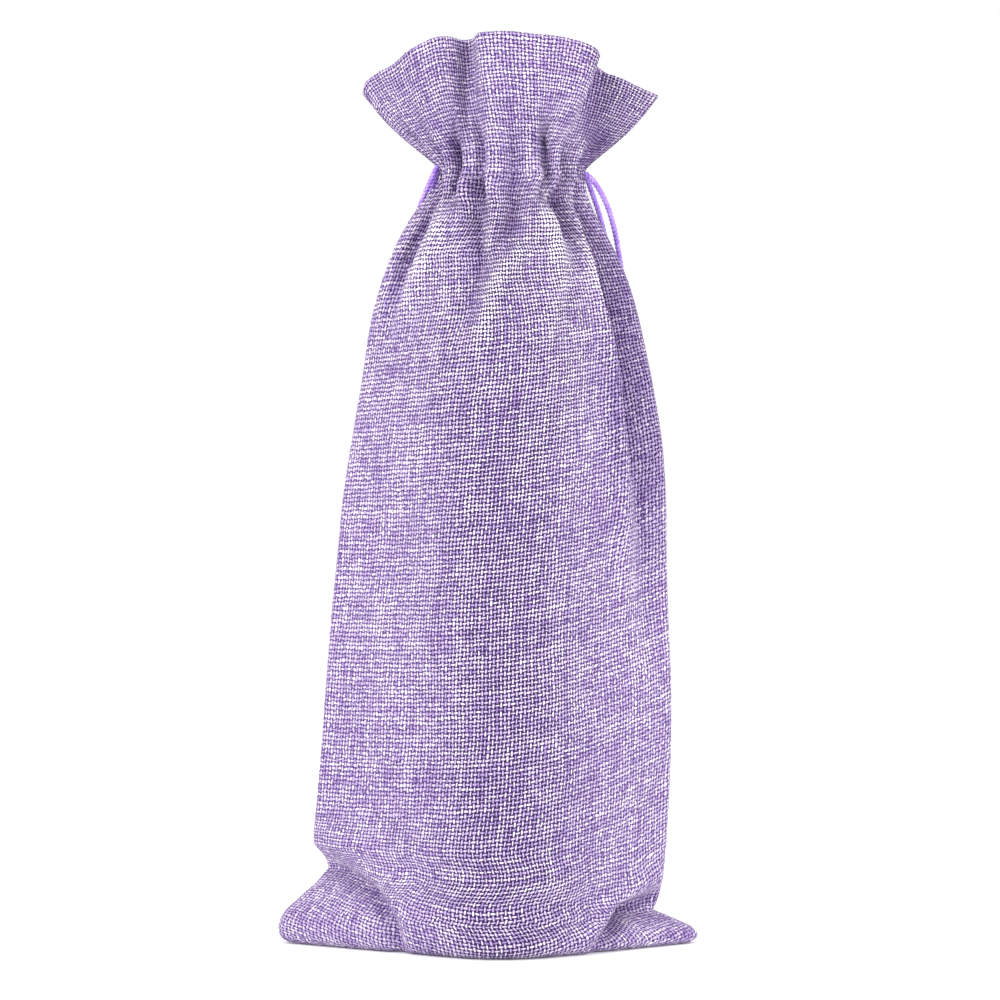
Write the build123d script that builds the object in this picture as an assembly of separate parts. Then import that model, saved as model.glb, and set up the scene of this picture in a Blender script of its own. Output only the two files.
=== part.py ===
from build123d import *
import os
from math import acos, cos, radians, sin, sqrt, tan

os.makedirs("parts", exist_ok=True)

# A drawstring gift bag for one wine bottle, standing as it does round the bottle.
# Millimetres, +Z up, front towards -Y. The origin is the middle of the base, on the floor.

# Cloth and thread
cloth = 0.9                 # one layer of coarse plain-weave cloth
hem = 2 * cloth             # the top edge is turned down, so the heading has two layers
seam_allowance = 8.0        # cloth turned inside along each seam
side_fold = 2.0             # cloth taken up by the fold at each side seam
thread = 0.45
thread_clear = 0.06         # a stitch stands this far off the cloth
stitch_length = 2.3
stitch_pitch = 3.1

# Body, as sections: height, left side, right side, bottle's middle, half depth, radius of the side folds
bottle_x = 4.0
neck_x = 8.2
body_sections = [
    (0.0, -69.0, 69.0, bottle_x, 34.5, 2.0),
    (7.0, -72.0, 72.0, bottle_x, 37.0, 3.0),
    (17.0, -68.5, 69.5, bottle_x, 37.8, 3.0),
    (29.0, -56.5, 61.0, bottle_x, 38.0, 3.0),
    (41.0, -60.5, 62.0, bottle_x, 38.0, 3.0),
    (70.0, -58.0, 63.0, bottle_x, 38.0, 3.0),
    (100.0, -55.5, 63.0, bottle_x, 38.0, 3.0),
    (150.0, -51.0, 61.5, bottle_x, 38.0, 3.0),
    (188.0, -45.5, 57.5, bottle_x, 37.5, 3.5),
    (212.0, -41.5, 52.5, 5.0, 32.0, 5.0),
    (236.0, -35.0, 45.5, 6.2, 25.5, 6.5),
    (252.0, -27.0, 37.0, 7.4, 22.0, 9.0),
    (263.5, -15.8, 32.2, neck_x, 20.5, 13.0),
]

# Neck: an oval with two straight sides, gathered in by the cords
neck_width = 47.0
neck_depth = 41.0
neck_end_radius = neck_depth / 2
casing_base = body_sections[-1][0]
casing_top = 275.0
casing_channel = 2.6        # room for the cords between the casing's two layers
casing_floor = 0.8          # cloth stitched together above and below the channel
slit_half = 3.2             # the casing stops this far from the middle of each side
row_inset = 0.7             # a row of stitches lies this far inside the casing's edge

# Heading: the frill above the casing, cut off by a round top edge
heading_gap = 0.6
heading_base = casing_top + heading_gap
heading_low = (-27.0, 45.5, neck_x, 20.5, 2.5)     # left, right, middle, half depth, side radius
heading_high = (-68.5, 82.0, neck_x, 25.0, 2.5)    # the same, at heading_reach
heading_reach = 322.0
heading_arch_x = 7.0
heading_arch_z = 245.0
heading_arch_radius = 70.0
heading_slit = 0.3          # each heading stops this far from the middle plane

# Cutting shapes
beyond = 400.0              # larger than the bag in every direction
overrun = 1.0               # a cut goes this far past the face it opens

# Cords
cord = 1.8                  # diameter
exit_offset = 1.4           # the two strands leave a side opening this far from its middle
exit_bend = 2.0
exit_run = 2.2              # straight cord outside each opening, in line with the pull
left_cord_z = 270.5
right_cord_z = 266.5
knot_radius = 3.0
knot_height = 7.0
knot_round = 2.4
strand_end_offset = 0.95    # the two strands lie this far from the knot's middle
strand_into_knot = 1.2
frayed_end = 13.0           # cord below the knot

# Routes of the free strands, from the side opening to the top of the knot
left_front_route = [
    (-19.8, 0.8, 265.0),
    (-23.2, 5.2, 258.0),
    (-26.6, 9.6, 249.2),
    (-30.2, 12.4, 239.0),
    (-33.4, 13.6, 227.8),
    (-36.8, 13.6, 215.4),
    (-37.4, 15.4, 202.4),
    (-37.5, 17.8, 189.4),
    (-37.1, 20.2, 177.0),
]
left_back_route = [
    (-18.4, 3.8, 264.6),
    (-21.6, 9.2, 257.0),
    (-25.6, 13.4, 247.8),
    (-29.0, 15.6, 237.2),
    (-31.8, 16.8, 225.6),
    (-33.6, 17.8, 213.2),
    (-34.6, 19.2, 200.6),
    (-35.0, 21.0, 188.4),
    (-35.1, 22.4, 177.0),
]
right_front_route = [
    (37.6, -0.2, 262.0),
    (41.2, 2.4, 255.4),
    (43.8, 5.6, 247.2),
    (45.6, 8.2, 238.0),
    (47.0, 10.0, 227.6),
    (47.9, 11.2, 216.2),
    (48.1, 13.0, 203.6),
    (47.7, 15.8, 191.0),
    (46.9, 18.4, 179.0),
    (45.9, 20.2, 168.0),
]
right_back_route = [
    (35.2, 3.4, 261.4),
    (38.0, 7.6, 254.6),
    (40.4, 11.0, 246.4),
    (42.2, 13.6, 237.0),
    (43.6, 15.2, 226.4),
    (44.3, 16.6, 214.8),
    (44.6, 18.0, 202.6),
    (44.6, 19.8, 190.4),
    (44.3, 21.5, 178.6),
    (43.9, 22.5, 168.0),
]


def outline(z, left, right, middle, half_depth, side_radius, inset=0.0):
    """A closed line round three circles: one the bottle's size, and a small one at each side."""
    big = half_depth - inset
    small = side_radius - inset
    left_x = left + side_radius
    right_x = right - side_radius
    left_turn = acos((half_depth - side_radius) / (middle - left_x))
    right_turn = acos((half_depth - side_radius) / (right_x - middle))

    def on_left(radius, x, sign):
        return (x - radius * cos(left_turn), sign * radius * sin(left_turn), z)

    def on_right(radius, x, sign):
        return (x + radius * cos(right_turn), sign * radius * sin(right_turn), z)

    front_left = on_left(small, left_x, -1)
    front_start = on_left(big, middle, -1)
    front_end = on_right(big, middle, -1)
    front_right = on_right(small, right_x, -1)
    back_right = on_right(small, right_x, 1)
    back_start = on_right(big, middle, 1)
    back_end = on_left(big, middle, 1)
    back_left = on_left(small, left_x, 1)
    return Wire(
        [
            Edge.make_line(front_left, front_start),
            Edge.make_three_point_arc(front_start, (middle, -big, z), front_end),
            Edge.make_line(front_end, front_right),
            Edge.make_three_point_arc(front_right, (right_x + small, 0, z), back_right),
            Edge.make_line(back_right, back_start),
            Edge.make_three_point_arc(back_start, (middle, big, z), back_end),
            Edge.make_line(back_end, back_left),
            Edge.make_three_point_arc(back_left, (left_x - small, 0, z), front_left),
        ]
    )


def ruled(wires):
    return Solid.make_loft(wires, ruled=True)


def half_space(side, gap=0.0):
    """The front (side -1) or back (side 1) of the middle plane, less a gap."""
    return Pos(0, side * (gap + beyond / 2), beyond / 2) * Box(beyond, beyond, beyond * 2)


def body_inside():
    """The hollow of the body, from the base's cloth to above the top of the last section."""
    low = body_sections[0]
    high = body_sections[-1]
    rows = [(cloth, *low[1:]), *body_sections[1:], (high[0] + overrun, *high[1:])]
    return ruled([outline(*row, inset=cloth) for row in rows])


def body_shell():
    return ruled([outline(*row) for row in body_sections]) - body_inside()


def slot(width, depth, base, top):
    """A solid with the neck's oval outline."""
    return Pos(neck_x, 0, base) * extrude(SlotOverall(width, depth), top - base)


def neck_ring(outer_inset, inner_inset, base, top):
    outer = slot(neck_width - 2 * outer_inset, neck_depth - 2 * outer_inset, base, top)
    inner = slot(neck_width - 2 * inner_inset, neck_depth - 2 * inner_inset, base - overrun, top + overrun)
    return outer - inner


def casing(side):
    """Half of the tunnel that the cords run in. It is open at both ends."""
    wall = neck_ring(0, hem + casing_channel, casing_base, casing_top)
    channel = neck_ring(
        cloth, cloth + casing_channel, casing_base + casing_floor, casing_top - casing_floor
    )
    return (wall - channel) & half_space(side, slit_half)


def neck_line(radius, side, z, reach):
    """The oval's half line at one radius from its end centres, from one side opening to the other."""
    straight = (neck_width - neck_depth) / 2
    left_x = neck_x - straight
    right_x = neck_x + straight
    turned = sqrt(radius**2 - reach**2)
    slant = radius * sin(radians(45))
    left_end = (left_x - turned, side * reach, z)
    right_end = (right_x + turned, side * reach, z)
    left_foot = (left_x, side * radius, z)
    right_foot = (right_x, side * radius, z)
    return Wire(
        [
            Edge.make_three_point_arc(left_end, (left_x - slant, side * slant, z), left_foot),
            Edge.make_line(left_foot, right_foot),
            Edge.make_three_point_arc(right_foot, (right_x + slant, side * slant, z), right_end),
        ]
    )


def stitches(side, z):
    """One row of stitches round half of the neck: separate short lengths of thread."""
    line = neck_line(neck_end_radius + thread_clear + thread / 2, side, z, slit_half + stitch_length)
    count = int(line.length / stitch_pitch)
    one = Box(thread, thread, stitch_length)
    return Compound([(line ^ ((i + 0.5) / count)) * one for i in range(count)])


def heading(side):
    """Half of the frill: a flaring wall of turned-down cloth with a round top edge."""
    base = (heading_base, *heading_low)
    reach = (heading_reach, *heading_high)
    below = (heading_base - overrun, *heading_low)
    above = (heading_reach + overrun, *heading_high)
    wall = ruled([outline(*base), outline(*reach)])
    hollow = ruled([outline(*row, inset=hem) for row in (below, base, reach, above)])
    arch = (
        Pos(heading_arch_x, 0, heading_arch_z)
        * Rot(90, 0, 0)
        * Cylinder(heading_arch_radius, beyond)
    )
    return (wall - hollow) & arch & half_space(side, heading_slit)


def side_seam(side, inside):
    """The two seam allowances inside one side of the body, flat together."""
    column = 1 if side < 0 else 2
    rows = body_sections[1:]
    outer_edge = [(row[column], row[0]) for row in rows]
    inner_edge = [(x - side * (seam_allowance + side_fold), z) for x, z in reversed(outer_edge)]
    profile = Plane.XZ * make_face(Polyline(*outer_edge, *inner_edge, close=True))
    return extrude(profile, cloth, both=True) & inside


def bottom_seam(inside):
    """The allowances of the bottom seam, pressed flat to the back under the bottle."""
    length = 2 * body_sections[0][2]
    return Pos(0, seam_allowance / 2, cloth + hem / 2) * Box(length, seam_allowance, hem) & inside


def cord_along(line):
    start = Plane(line @ 0, z_dir=line % 0)
    return sweep(start * Circle(cord / 2), line)


def loop_end(side_x, y_sign, radius, z):
    """Where a cord leaves the oval through a side opening: centre of its bend, start and end."""
    straight = (neck_width - neck_depth) / 2
    end_x = neck_x + side_x * straight
    away = exit_offset + exit_bend
    across = sqrt((radius + exit_bend) ** 2 - away**2)
    share = radius / (radius + exit_bend)
    centre = (end_x + side_x * across, y_sign * away, z)
    on_oval = (end_x + side_x * across * share, y_sign * away * share, z)
    outside = (centre[0], y_sign * exit_offset, z)
    return centre, on_oval, outside


def drawstring_loop(side_x, z):
    """The part of one cord inside the casing: all round the neck, with both ends out at one side."""
    radius = neck_end_radius - cloth - casing_channel / 2
    straight = (neck_width - neck_depth) / 2
    near_x = neck_x + side_x * straight
    far_x = neck_x - side_x * straight
    edges = []
    for y_sign in (-1, 1):
        centre, on_oval, outside = loop_end(side_x, y_sign, radius, z)
        towards_oval = Vector(*on_oval) - Vector(*centre)
        towards_exit = Vector(*outside) - Vector(*centre)
        half_way = (towards_oval + towards_exit).normalized() * exit_bend
        bend_middle = Vector(*centre) + half_way
        foot = (near_x, y_sign * radius, z)
        arc_middle = (
            (Vector(*on_oval) - Vector(near_x, 0, z)) + (Vector(*foot) - Vector(near_x, 0, z))
        ).normalized() * radius + Vector(near_x, 0, z)
        pieces = [
            Edge.make_three_point_arc(outside, bend_middle, on_oval),
            Edge.make_three_point_arc(on_oval, arc_middle, foot),
            Edge.make_line(foot, (far_x, y_sign * radius, z)),
        ]
        edges.append(pieces)
    far_end = Edge.make_three_point_arc(
        (far_x, -radius, z), (far_x - side_x * radius, 0, z), (far_x, radius, z)
    )
    return cord_along(Wire([*edges[0], far_end, *edges[1]]))


def opening_point(side_x, y_sign, z):
    radius = neck_end_radius - cloth - casing_channel / 2
    return loop_end(side_x, y_sign, radius, z)[2]


def strand(name, side_x, y_sign, z, route):
    """A free strand: straight runs joined by arcs as large as the runs allow."""
    start = Vector(*opening_point(side_x, y_sign, z))
    points = [start, start + Vector(side_x * exit_run, 0, 0), *[Vector(*p) for p in route]]
    last = points[-1]
    points.append(last - Vector(0, 0, knot_height))
    runs = [b - a for a, b in zip(points, points[1:])]
    radii = []
    for before, after in zip(runs, runs[1:]):
        turn = radians(before.get_angle(after))
        radii.append(0.45 * min(before.length, after.length) / tan(turn / 2))
    line = FilletPolyline(*points, radius=radii)
    print(name, "length", round(line.length, 1))
    return cord_along(Wire(line.edges()))


def knot(front_route, back_route):
    """An overhand knot that ties both strands of one cord, and its middle."""
    ends = Vector(*front_route[-1]) + Vector(*back_route[-1])
    middle = ends * 0.5 - Vector(0, 0, knot_height)
    barrel = Cylinder(knot_radius, knot_height)
    return Pos(middle) * fillet(barrel.edges().filter_by(GeomType.CIRCLE), knot_round), middle


def frayed_ends(middle):
    """The two cut ends of a cord, hanging out of its knot."""
    start = knot_height / 2 - strand_into_knot
    pair = []
    for sign in (-1, 1):
        place = middle + Vector(0, sign * strand_end_offset, -start - frayed_end / 2)
        pair.append(Pos(place) * Cylinder(cord / 2, frayed_end))
    return Compound(pair)


shell = body_shell()
inside = body_inside() & Pos(0, 0, casing_base / 2) * Box(beyond, beyond, casing_base)

parts = {
    "front_panel": shell & half_space(-1),
    "back_panel": shell & half_space(1),
    "left_side_seam": side_seam(-1, inside),
    "right_side_seam": side_seam(1, inside),
    "bottom_seam": bottom_seam(inside),
    "left_drawstring_loop": drawstring_loop(-1, left_cord_z),
    "right_drawstring_loop": drawstring_loop(1, right_cord_z),
}
for word, side in (("front", -1), ("back", 1)):
    parts[f"{word}_casing"] = casing(side)
    parts[f"{word}_heading"] = heading(side)
    parts[f"{word}_upper_stitching"] = stitches(side, casing_top - row_inset)
    parts[f"{word}_lower_stitching"] = stitches(side, casing_base + row_inset)

tails = (
    ("left", -1, left_cord_z, left_front_route, left_back_route),
    ("right", 1, right_cord_z, right_front_route, right_back_route),
)
for word, side_x, z, front_route, back_route in tails:
    name = f"{word}_drawstring"
    parts[f"{name}_front_strand"] = strand(f"{name}_front_strand", side_x, -1, z, front_route)
    parts[f"{name}_back_strand"] = strand(f"{name}_back_strand", side_x, 1, z, back_route)
    parts[f"{word}_knot"], knot_middle = knot(front_route, back_route)
    parts[f"{name}_frayed_ends"] = frayed_ends(knot_middle)

for name, part in parts.items():
    export_step(part, f"parts/{name}.step")
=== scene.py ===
from math import acos, cos, exp, log, pi, radians, sin, tau

import bpy
import numpy as np
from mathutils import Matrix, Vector


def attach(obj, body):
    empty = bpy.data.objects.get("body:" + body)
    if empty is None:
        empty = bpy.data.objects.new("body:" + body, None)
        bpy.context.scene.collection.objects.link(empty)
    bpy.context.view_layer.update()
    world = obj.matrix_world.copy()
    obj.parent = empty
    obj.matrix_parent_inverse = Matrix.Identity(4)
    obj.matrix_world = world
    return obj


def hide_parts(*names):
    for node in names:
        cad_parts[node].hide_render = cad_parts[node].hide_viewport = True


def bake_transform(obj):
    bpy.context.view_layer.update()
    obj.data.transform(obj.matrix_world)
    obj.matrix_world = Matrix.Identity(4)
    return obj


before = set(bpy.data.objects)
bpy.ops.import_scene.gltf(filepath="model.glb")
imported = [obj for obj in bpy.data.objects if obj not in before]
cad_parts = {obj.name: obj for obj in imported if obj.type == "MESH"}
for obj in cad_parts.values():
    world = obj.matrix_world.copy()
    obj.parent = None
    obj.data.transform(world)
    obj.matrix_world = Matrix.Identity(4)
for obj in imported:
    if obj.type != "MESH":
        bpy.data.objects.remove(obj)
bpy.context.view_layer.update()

# A drawstring gift bag of coarse plain-weave cloth, standing round a bottle. Shapes are worked out in
# millimetres in the frame's axes and become metres when a mesh is made. The front looks towards -Y.
MM = 0.001
FRONT, BACK = -1, 1

# Cloth: c runs across a panel from its left seam, v runs up it from the bottom seam
CLOTH_WIDTH = 150.0
PANEL_LENGTH = 299.5
WARP_PITCH = 1.33
WEFT_PITCH = 1.49
YARN_RELIEF = 0.26
HEM_GAP = 1.3             # between the two layers of the heading
BOTTOM_FLAP = 36.0        # cloth from the bottom seam to the front of the base
SEAM_ALLOWANCE = 8.0

CASING_BASE = 263.5
CASING_TOP = 275.0
SLIT_HALF = 3.2
EDGE_GAP = 0.6            # half the gap between the front and back frill at their tips

CORD_DIAMETER = 1.8
KNOT_HEIGHT = 7.0


# ---------------------------------------------------------------- camera

CAMERA_PLACE = (0.0038, -0.9, 0.1533)
CAMERA_LENS = 93.6
SENSOR_WIDTH = 36.0


def add_camera():
    """A level camera in front of the bag."""
    data = bpy.data.cameras.new("camera")
    data.sensor_width = SENSOR_WIDTH
    data.lens = CAMERA_LENS
    camera = bpy.data.objects.new("camera", data)
    camera.location = CAMERA_PLACE
    camera.rotation_euler = (radians(90), 0, 0)
    bpy.context.scene.collection.objects.link(camera)
    bpy.context.scene.camera = camera


# ---------------------------------------------------------------- node helpers

class Nodes:
    """Short calls for building a material's node tree."""

    def __init__(self, name):
        self.material = bpy.data.materials.new(name)
        self.material.use_nodes = True
        self.tree = self.material.node_tree
        self.shader = self.tree.nodes["Principled BSDF"]

    def add(self, kind, **settings):
        node = self.tree.nodes.new(kind)
        for key, value in settings.items():
            setattr(node, key, value)
        return node

    def put(self, socket, value):
        if isinstance(value, bpy.types.NodeSocket):
            self.tree.links.new(value, socket)
        else:
            socket.default_value = value

    def math(self, operation, *values):
        node = self.add("ShaderNodeMath", operation=operation)
        for socket, value in zip(node.inputs, values):
            self.put(socket, value)
        return node.outputs[0]

    def times(self, value, factor):
        return self.math("MULTIPLY", value, factor)

    def vector(self, x, y, z=0.0):
        node = self.add("ShaderNodeCombineXYZ")
        for socket, value in zip(node.inputs, (x, y, z)):
            self.put(socket, value)
        return node.outputs[0]

    def noise(self, vector, scale=1.0, detail=0.0):
        node = self.add("ShaderNodeTexNoise")
        self.put(node.inputs["Vector"], vector)
        node.inputs["Scale"].default_value = scale
        node.inputs["Detail"].default_value = detail
        return node.outputs["Fac"]

    def random(self, vector):
        node = self.add("ShaderNodeTexWhiteNoise", noise_dimensions="3D")
        self.put(node.inputs["Vector"], vector)
        return node.outputs["Value"]

    def remap(self, value, low, high, new_low, new_high):
        node = self.add("ShaderNodeMapRange", clamp=True)
        for socket, given in zip(node.inputs, (value, low, high, new_low, new_high)):
            self.put(socket, given)
        return node.outputs[0]

    def ramp(self, value, stops):
        node = self.add("ShaderNodeValToRGB")
        self.put(node.inputs[0], value)
        elements = node.color_ramp.elements
        while len(elements) < len(stops):
            elements.new(0.5)
        for element, (place, colour) in zip(elements, stops):
            element.position = place
            element.color = (*colour, 1)
        return node.outputs[0]

    def mix(self, share, first, second, blend="MIX"):
        node = self.add("ShaderNodeMix", data_type="RGBA", blend_type=blend)
        self.put(node.inputs[0], share)
        for socket, value in ((node.inputs[6], first), (node.inputs[7], second)):
            self.put(socket, value if isinstance(value, bpy.types.NodeSocket) else (*value, 1))
        return node.outputs[2]

    def attribute(self, name):
        return self.add("ShaderNodeAttribute", attribute_name=name).outputs["Fac"]

    def bump(self, height, distance, strength=1.0):
        node = self.add("ShaderNodeBump")
        node.inputs["Distance"].default_value = distance
        node.inputs["Strength"].default_value = strength
        self.put(node.inputs["Height"], height)
        self.put(self.shader.inputs["Normal"], node.outputs[0])

    def finish(self, colour, roughness, specular, sheen=0.0):
        self.put(self.shader.inputs["Base Color"], colour)
        self.shader.inputs["Roughness"].default_value = roughness
        self.shader.inputs["Specular IOR Level"].default_value = specular
        self.shader.inputs["Sheen Weight"].default_value = sheen
        self.shader.inputs["Sheen Roughness"].default_value = 0.5
        return self.material


# ---------------------------------------------------------------- materials

YARN_HALF = 0.192         # half a yarn's width, as a share of the pitch
SLUB_SWELL = 0.18         # how much a slub thickens it
OPEN_THINNING = -0.074    # and how much an open weave thins it
GAP_DROP = -3.0           # pushes the space between yarns below every yarn
RIDGE_HIGHLIGHT = -0.30       # the fold map is negative on ridges, where the yarn is painted paler as a painted highlight
YARN_STOPS = [
    (0.1, (0.17, 0.095, 0.30)), (0.33, (0.34, 0.24, 0.48)),
    (0.56, (0.55, 0.46, 0.65)), (0.8, (0.83, 0.79, 0.84)),
]
# Colour seen through the gaps between yarns, from near black to pale: the dark is the bottle and painted
# shade inside the bag, the pale is painted light coming through the cloth
GAP_STOPS = [
    (0.0, (0.016, 0.005, 0.05)), (0.2, (0.075, 0.026, 0.17)),
    (0.5, (0.36, 0.28, 0.50)), (1.0, (0.72, 0.68, 0.78)),
]
UNDER_SHADE_TINT = (0.17, 0.08, 0.29)     # painted shade where a yarn dips under its neighbour
FOLD_SHADE_TINT = (0.48, 0.37, 0.62)      # painted shade at the bottom of a fold


def weave_material(name):
    """Coarse plain weave of heathered lilac yarn. The UV map counts yarns; the gaps between yarns are
    painted dark over the bottle, for the dark bottle and painted shade inside the bag, and pale where
    painted light comes through. Yarn is painted darker where it dips under its neighbour and deep in folds,
    as painted shade, and paler on ridges, as a painted highlight."""
    n = Nodes(name)
    uv = n.add("ShaderNodeSeparateXYZ")
    n.put(uv.inputs[0], n.add("ShaderNodeUVMap", uv_map="weave").outputs[0])
    u, v = uv.outputs[0], uv.outputs[1]
    spread = n.attribute("open")
    gap = n.attribute("gap")
    loose = n.math("MULTIPLY_ADD", spread, -0.55, 0.85)
    slow = [n.math("SUBTRACT", n.noise(n.vector(u, v, seed), 0.2), 0.5) for seed in (3.1, 9.7)]
    quick = [n.math("SUBTRACT", n.noise(n.vector(u, v, seed), 0.9), 0.5) for seed in (5.3, 12.9)]
    drift = [
        n.math("ADD", n.times(a, 0.5), n.times(n.times(b, loose), 0.7))
        for a, b in zip(slow, quick)
    ]
    u = n.math("ADD", u, drift[0])
    v = n.math("ADD", v, drift[1])
    warp = n.math("FLOOR", n.math("ADD", u, 0.5))
    weft = n.math("FLOOR", n.math("ADD", v, 0.5))
    across_warp = n.math("SUBTRACT", u, warp)
    across_weft = n.math("SUBTRACT", v, weft)
    parity = n.math("FLOORED_MODULO", n.math("ADD", warp, weft), 2.0)
    side = n.math("MULTIPLY_ADD", parity, -2.0, 1.0)

    def yarn(number, along, across, along_wave, sign, offset):
        """Height and tone of the warp or the weft at any place on the cloth."""
        slub = n.noise(n.vector(n.times(number, 7.31), n.times(along, 0.22), offset))
        half = n.math("MULTIPLY_ADD", slub, SLUB_SWELL, YARN_HALF)
        half = n.math("MULTIPLY_ADD", spread, OPEN_THINNING, half)
        share = n.math("DIVIDE", across, half)
        inside = n.math("SUBTRACT", 1.0, n.times(share, share))
        crown = n.math("SQRT", n.math("MAXIMUM", inside, 0.0))
        wave = n.times(n.math("COSINE", n.times(along_wave, pi)), side)
        height = n.math("ADD", n.times(crown, 0.5), n.times(wave, 0.5 * sign))
        outside = n.math("LESS_THAN", inside, 0.0)
        height = n.math("MULTIPLY_ADD", outside, GAP_DROP, height)
        whole = n.random(n.vector(number, offset, 1.0))
        lengthwise = n.noise(n.vector(n.times(number, 3.17), n.times(along, 0.16), offset + 4), 1.0, 2.0)
        fibre = n.noise(n.vector(n.times(across, 5.0), n.times(along, 1.1), offset + 8))
        crossing = n.math("FLOOR", n.math("ADD", along, 0.5))
        dash = n.random(n.vector(number, crossing, offset + 2))
        tone = n.math("MULTIPLY_ADD", lengthwise, 1.0, -0.33)
        tone = n.math("MULTIPLY_ADD", whole, 0.18, tone)
        tone = n.math("MULTIPLY_ADD", dash, 0.16, tone)
        return height, n.math("MULTIPLY_ADD", fibre, 0.4, tone)

    warp_height, warp_tone = yarn(warp, v, across_warp, across_weft, 1, 1.3)
    weft_height, weft_tone = yarn(weft, u, across_weft, across_warp, -1, 21.7)
    top = n.math("MAXIMUM", warp_height, weft_height)
    warp_on_top = n.math("GREATER_THAN", warp_height, weft_height)
    weft_on_top = n.math("SUBTRACT", 1.0, warp_on_top)
    tone = n.math("ADD", n.times(warp_on_top, warp_tone), n.times(weft_on_top, weft_tone))
    fold = n.attribute("fold")
    # Painted highlight: yarn high on a ridge is drawn paler
    tone = n.math("MULTIPLY_ADD", n.math("MINIMUM", fold, 0.0), RIDGE_HIGHLIGHT, tone)
    yarn_colour = n.ramp(tone, YARN_STOPS)
    # Painted shade: each yarn is drawn darker where it dips under its neighbour and pale on its crown
    shade = n.remap(top, 0.24, 0.70, 0.0, 1.0)
    deep = n.mix(1.0, yarn_colour, UNDER_SHADE_TINT, "MULTIPLY")
    lit = n.mix(shade, deep, yarn_colour)
    gap_colour = n.ramp(gap, GAP_STOPS)
    hole = n.math("LESS_THAN", top, -1.0)
    colour = n.mix(hole, lit, gap_colour)
    # Painted shade: the colour is darkened where the fold map is above 0, deep in a fold
    fold_shade_share = n.math("MAXIMUM", fold, 0.0)
    colour = n.mix(fold_shade_share, colour, n.mix(1.0, colour, FOLD_SHADE_TINT, "MULTIPLY"))
    n.bump(n.math("MAXIMUM", top, -0.6), 0.00032)
    return n.finish(colour, 0.82, 0.25, 0.12)


def cord_material():
    """Glossy violet twisted cord: each ply a little different, with fine fibres along it."""
    n = Nodes("violet_cord")
    place = n.add("ShaderNodeTexCoord").outputs["Object"]
    fibres = n.noise(place, 2600.0, 2.0)
    patches = n.noise(place, 420.0, 1.0)
    tone = n.math("MULTIPLY_ADD", patches, 0.5, n.math("MULTIPLY", fibres, 0.5))
    stops = [(0.3, (0.22, 0.10, 0.52)), (0.52, (0.36, 0.20, 0.72)), (0.7, (0.60, 0.42, 0.90))]
    colour = n.ramp(tone, stops)
    n.bump(fibres, 0.00012)
    return n.finish(colour, 0.45, 0.4, 0.2)


def thread_material():
    """Pale twisted sewing thread."""
    n = Nodes("sewing_thread")
    place = n.add("ShaderNodeTexCoord").outputs["Object"]
    twist = n.noise(place, 2400.0, 1.0)
    colour = n.ramp(twist, [(0.3, (0.52, 0.44, 0.72)), (0.65, (0.82, 0.76, 0.93))])
    n.bump(twist, 0.0001)
    return n.finish(colour, 0.6, 0.3)


def floor_material():
    """Nearly white and matt."""
    n = Nodes("floor")
    place = n.add("ShaderNodeTexCoord").outputs["Object"]
    colour = n.ramp(n.noise(place, 3.0), [(0.0, (0.985, 0.985, 0.985)), (1.0, (0.995, 0.995, 0.995))])
    return n.finish(colour, 0.9, 0.1)


# ---------------------------------------------------------------- mesh helpers

def make_mesh(name, points, faces, material):
    """A smooth mesh from points in millimetres."""
    data = bpy.data.meshes.new(name)
    data.from_pydata((np.asarray(points).reshape(-1, 3) * MM).tolist(), [], faces)
    data.shade_smooth()
    data.materials.append(material)
    piece = bpy.data.objects.new(name, data)
    bpy.context.scene.collection.objects.link(piece)
    return piece


def grid_faces(rows, columns, closed=False):
    """Quads between neighbouring points of a grid, row after row."""
    across = np.arange(columns if closed else columns - 1)
    row, column = np.meshgrid(np.arange(rows - 1), across, indexing="ij")
    after = (column + 1) % columns
    low, high = row * columns, (row + 1) * columns
    corners = [low + column, low + after, high + after, high + column]
    return np.stack(corners, -1).reshape(-1, 4).tolist()


def smooth_step(value, low, high):
    """0 below the low value, 1 above the high one, and a smooth rise between."""
    share = np.clip((value - low) / (high - low), 0, 1)
    return share * share * (3 - 2 * share)


def along(points):
    """Distance along a line of points, from 0."""
    return np.concatenate([[0], np.cumsum(np.linalg.norm(np.diff(points, axis=0), axis=1))])


def resample(points, places, at):
    """Points of a line at other places along it."""
    return np.stack([np.interp(at, places, points[:, k]) for k in range(points.shape[1])], 1)


def spline(points, steps=12):
    """A smooth line through the points."""
    points = np.asarray(points, float)
    ends = np.vstack([2 * points[0] - points[1], points, 2 * points[-1] - points[-2]])
    t = np.linspace(0, 1, steps, endpoint=False)[:, None]
    line = []
    for a, b, c, d in zip(ends, ends[1:], ends[2:], ends[3:]):
        square = 2 * a - 5 * b + 4 * c - d
        cube = 3 * b - a - 3 * c + d
        line.append(0.5 * (2 * b + (c - a) * t + square * t**2 + cube * t**3))
    return np.vstack([*line, points[-1:]])


SKEW = (0.31, 0.83, 0.46)  # a direction that no tube starts in


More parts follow.
